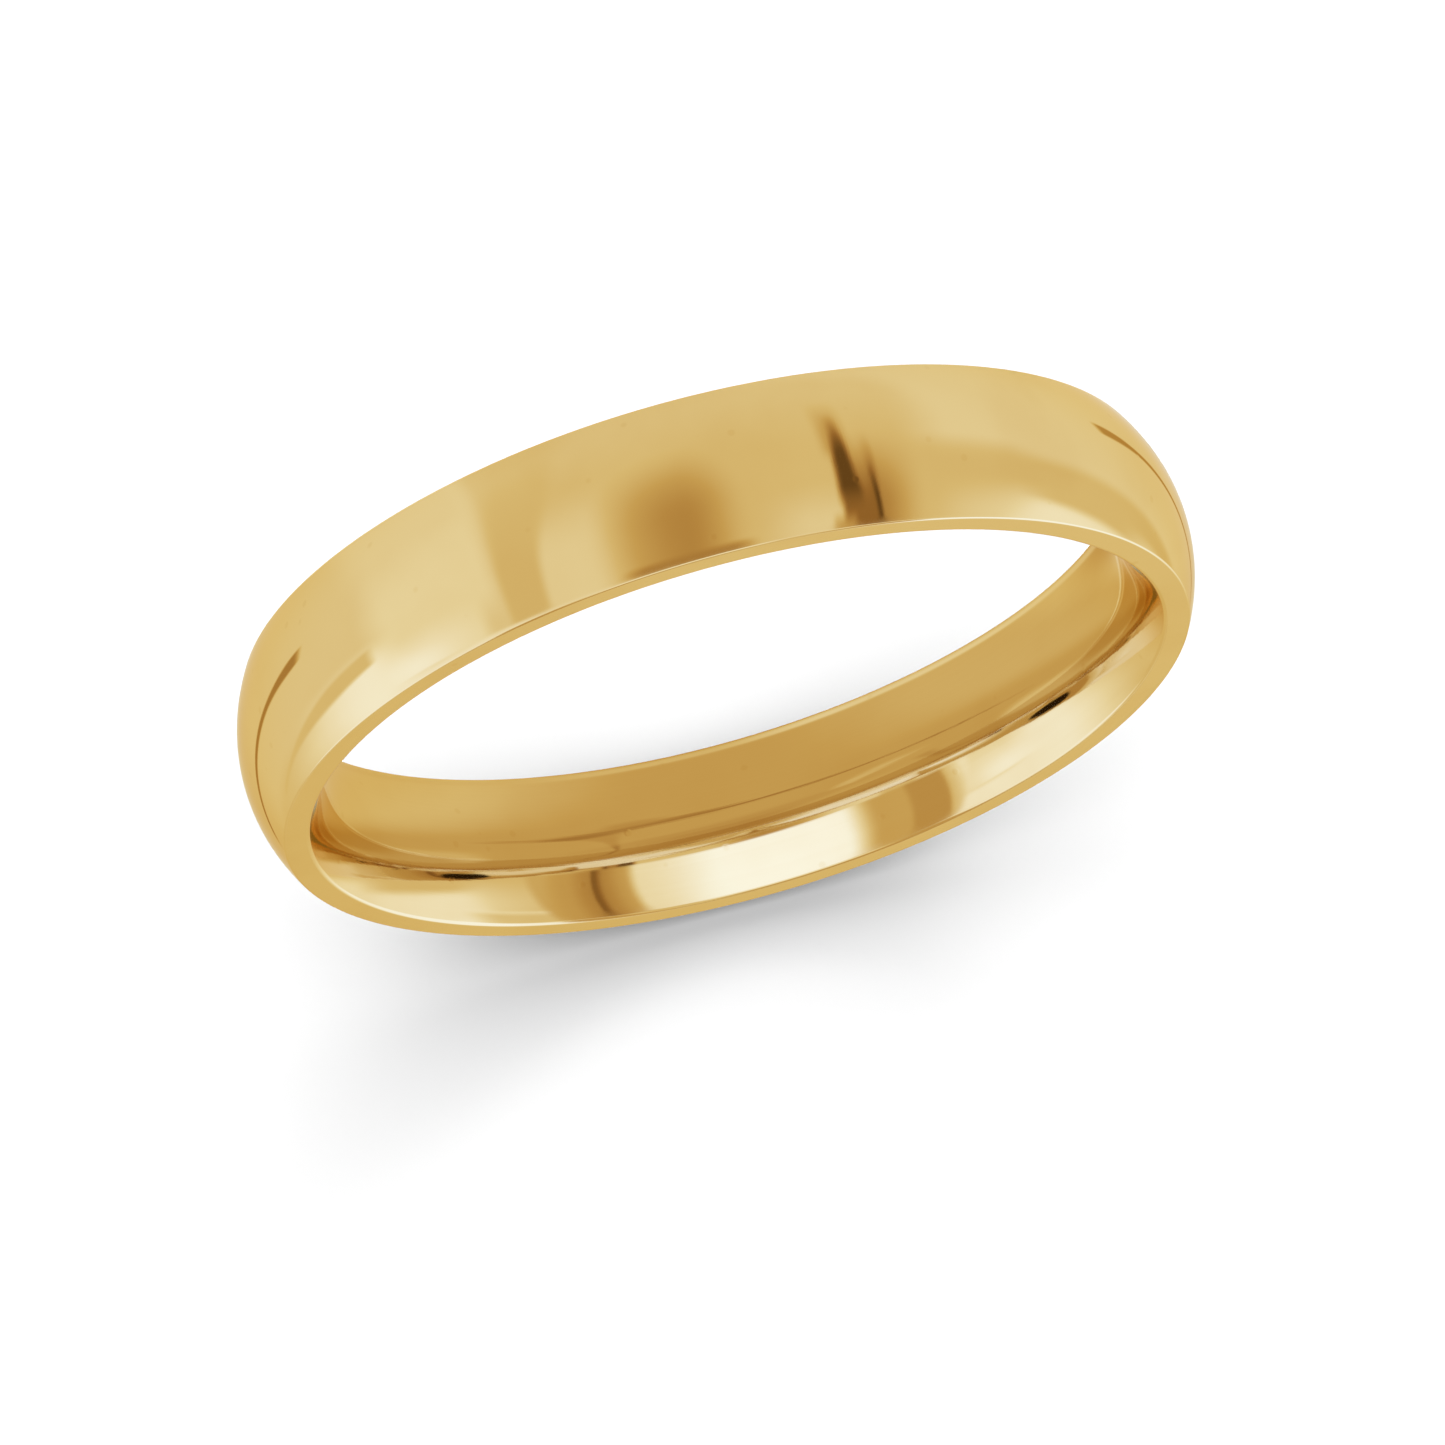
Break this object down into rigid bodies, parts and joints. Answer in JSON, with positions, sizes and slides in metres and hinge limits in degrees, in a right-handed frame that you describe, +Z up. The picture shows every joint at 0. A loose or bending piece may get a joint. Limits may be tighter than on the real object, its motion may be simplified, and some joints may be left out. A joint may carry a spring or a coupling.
{
  "type": "wedding band",
  "caption": "Plain domed gold wedding band with a comfort-fit inside and narrow flat rims, worn on a finger.",
  "frame": {"origin": "centre of the ring, on the finger axis and half way between the two rims", "axes": "+Y along the finger axis, from the front rim to the back rim; the ring stands on its edge and +Z points up"},
  "size_m": [0.0232, 0.004, 0.0232],
  "materials": {
    "gold": "high polish 14 karat yellow gold"
  },
  "bodies": {
    "root": {"band": "gold"}
  },
  "joints": []
}
